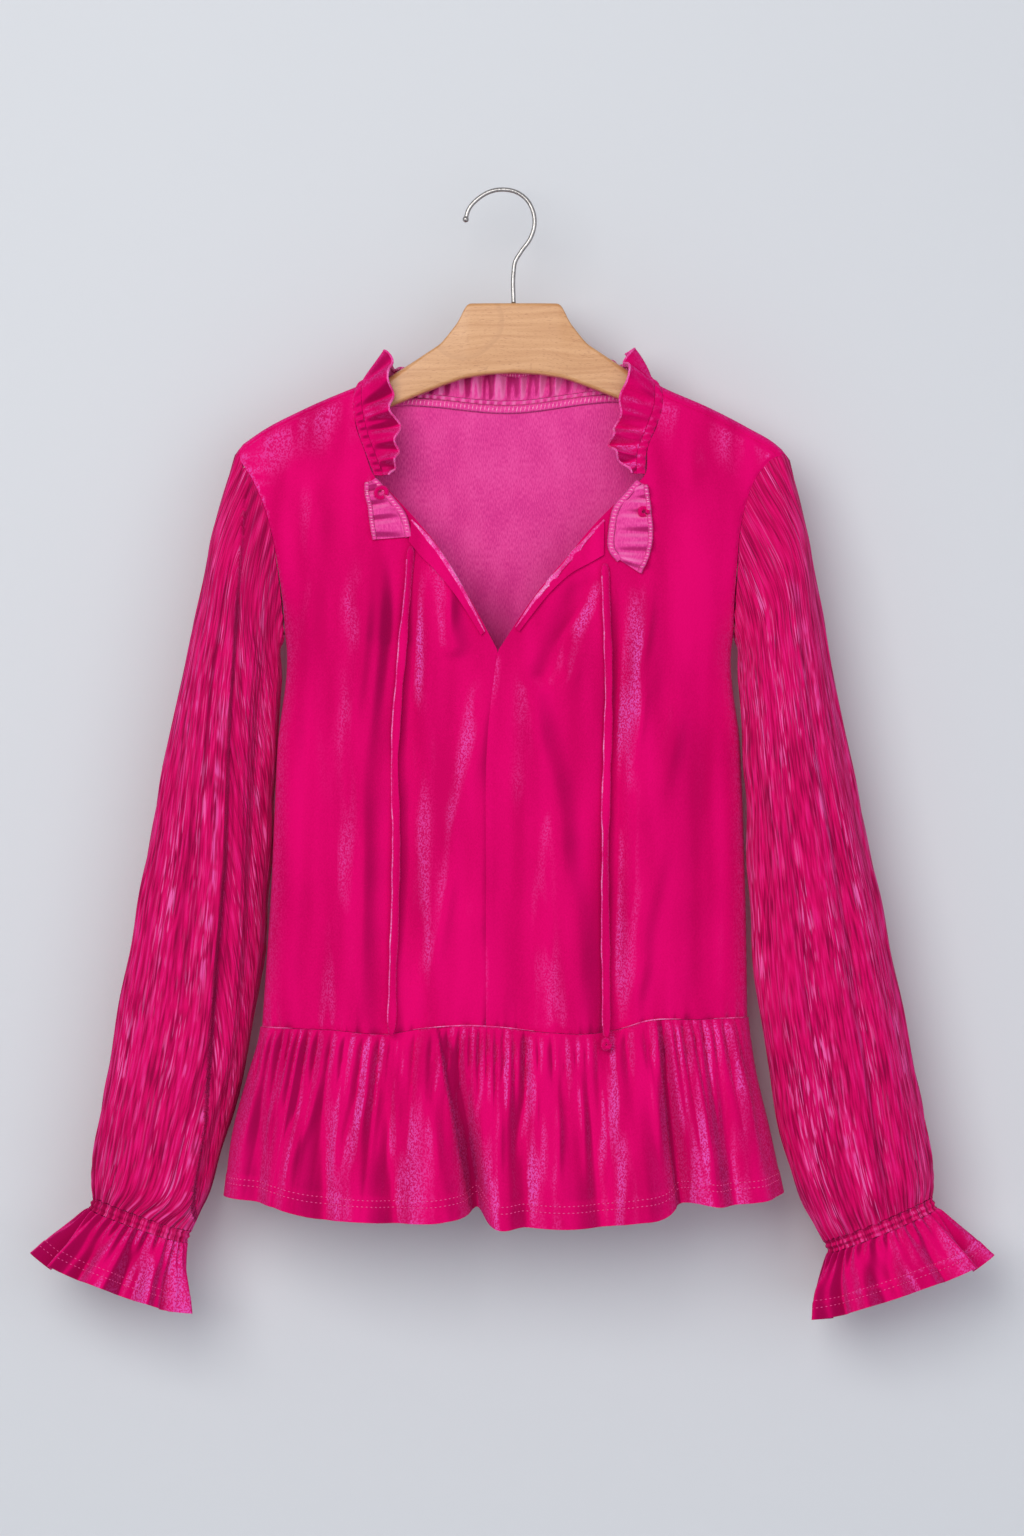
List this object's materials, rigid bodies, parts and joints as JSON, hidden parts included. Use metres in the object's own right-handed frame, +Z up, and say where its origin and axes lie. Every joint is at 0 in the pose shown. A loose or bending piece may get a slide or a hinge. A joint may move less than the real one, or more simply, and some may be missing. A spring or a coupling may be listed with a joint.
{
  "type": "long-sleeve velvet peplum blouse on a wooden hanger",
  "caption": "Long-sleeve velvet blouse with a V slit, gathered neck frill, neck ties, peplum and flared cuffs, on a wooden hanger hung by its steel hook.",
  "frame": {"origin": "inside top of the hanger's hook, where it rests on a rail", "axes": "+X to the right of a viewer facing the blouse's front, +Y from its front to its back, +Z up"},
  "size_m": [0.6884, 0.1239, 0.8111],
  "materials": {
    "hook": "polished steel wire",
    "hanger": "clear-lacquered beech",
    "front_left": "stretch velvet, short pile",
    "front_right": "stretch velvet, short pile",
    "back": "stretch velvet, short pile, matt knit backing inside",
    "slit_facing_left": "turned-out velvet facing",
    "slit_facing_right": "turned-out velvet facing",
    "neck_band": "gathered velvet casing",
    "neck_frill": "gathered velvet strip",
    "frill_end_left": "velvet strip turned to its knit backing",
    "frill_end_right": "velvet strip turned to its knit backing",
    "tie_left": "velvet rouleau",
    "tie_right": "velvet rouleau",
    "tie_knot_right": "knotted velvet rouleau",
    "peplum_front": "stretch velvet, short pile",
    "peplum_back": "stretch velvet, short pile",
    "sleeve_left": "crinkled velvet with fine ribs",
    "sleeve_right": "crinkled velvet with fine ribs",
    "cuff_band_left": "elasticated velvet gathers",
    "cuff_band_right": "elasticated velvet gathers",
    "cuff_frill_left": "flared velvet frill",
    "cuff_frill_right": "flared velvet frill"
  },
  "bodies": {
    "root": {"hook": "hook", "hanger": "hanger", "front_left": "front_left", "front_right": "front_right", "back": "back", "slit_facing_left": "slit_facing_left", "slit_facing_right": "slit_facing_right", "neck_band": "neck_band", "neck_frill": "neck_frill", "frill_end_left": "frill_end_left", "frill_end_right": "frill_end_right", "tie_left": "tie_left", "tie_right": "tie_right", "tie_knot_right": "tie_knot_right", "peplum_front": "peplum_front", "peplum_back": "peplum_back", "sleeve_left": "sleeve_left", "sleeve_right": "sleeve_right", "cuff_band_left": "cuff_band_left", "cuff_band_right": "cuff_band_right", "cuff_frill_left": "cuff_frill_left", "cuff_frill_right": "cuff_frill_right"}
  },
  "joints": []
}
